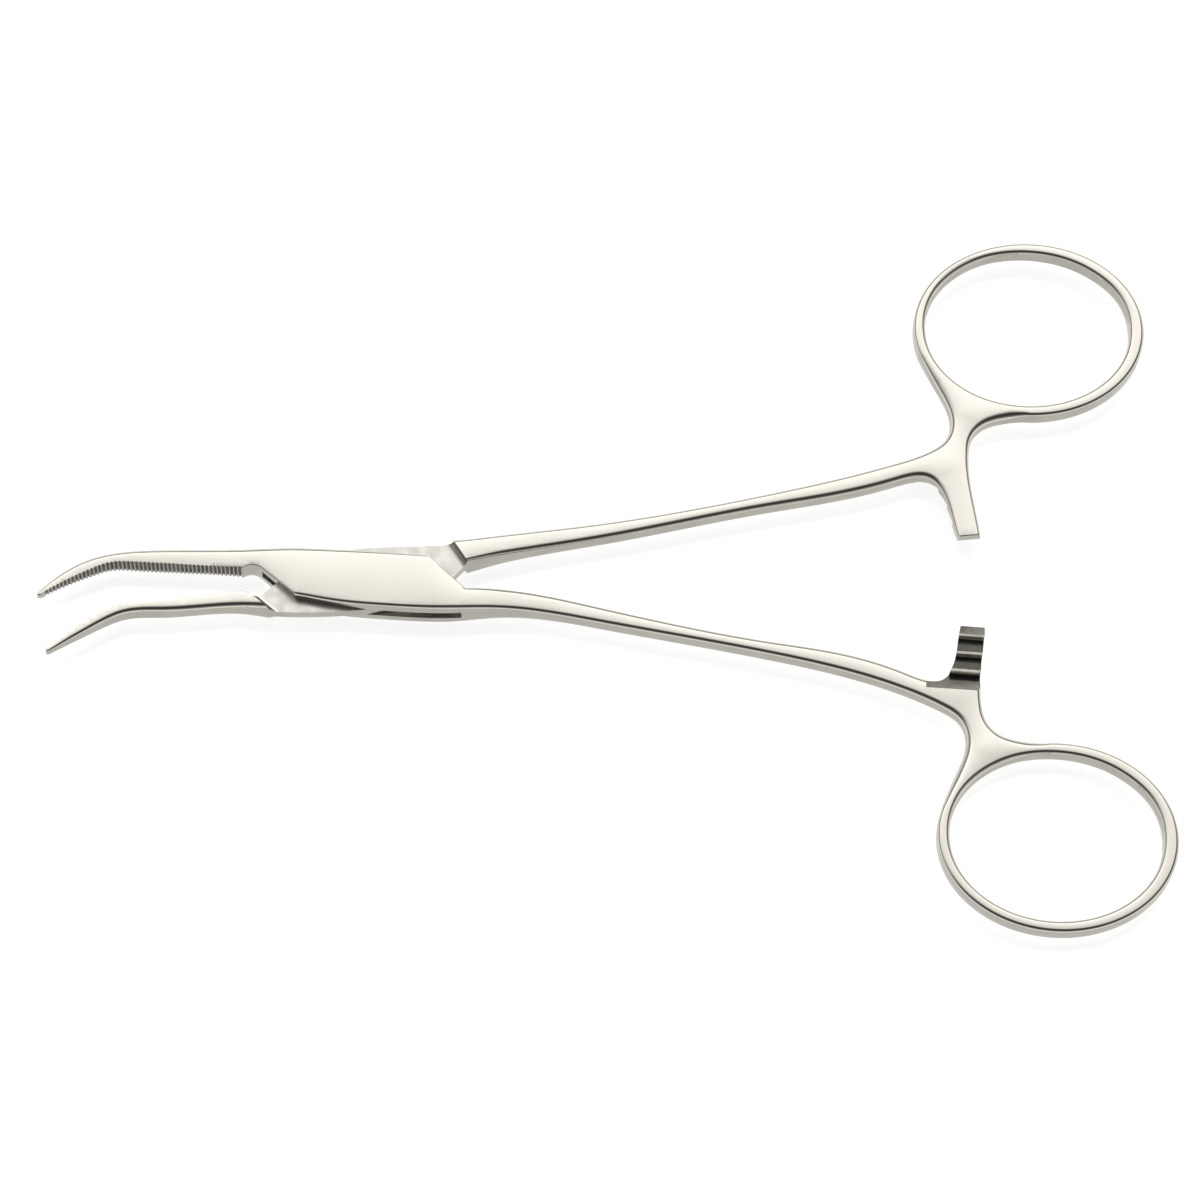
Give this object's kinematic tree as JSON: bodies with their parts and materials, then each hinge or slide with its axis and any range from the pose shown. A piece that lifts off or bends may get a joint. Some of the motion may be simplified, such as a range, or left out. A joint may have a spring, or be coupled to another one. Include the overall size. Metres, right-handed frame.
{
  "type": "hemostat forceps",
  "caption": "Curved box-lock surgical clamp with cross-serrated jaws, finger rings and a ratchet, lying open.",
  "frame": {"origin": "on the pivot axis, at the underside of the box", "axes": "+Z along the pivot towards the viewer, +X towards the finger rings, +Y towards the inner half's ring"},
  "size_m": [0.1394, 0.0936, 0.0049],
  "materials": {
    "polished_steel": "polished stainless steel",
    "pin_steel": "ground stainless steel"
  },
  "bodies": {
    "outer": {"outer_half": "polished_steel", "pivot_pin": "pin_steel"},
    "inner": {"inner_half": "polished_steel"}
  },
  "joints": [
    {"name": "box_lock_pivot", "type": "hinge", "parent": "outer", "child": "inner", "pos_m": [0, 0, 0.00245], "axis": [0, 0, 1], "range_deg": [-9.6, 30]}
  ]
}
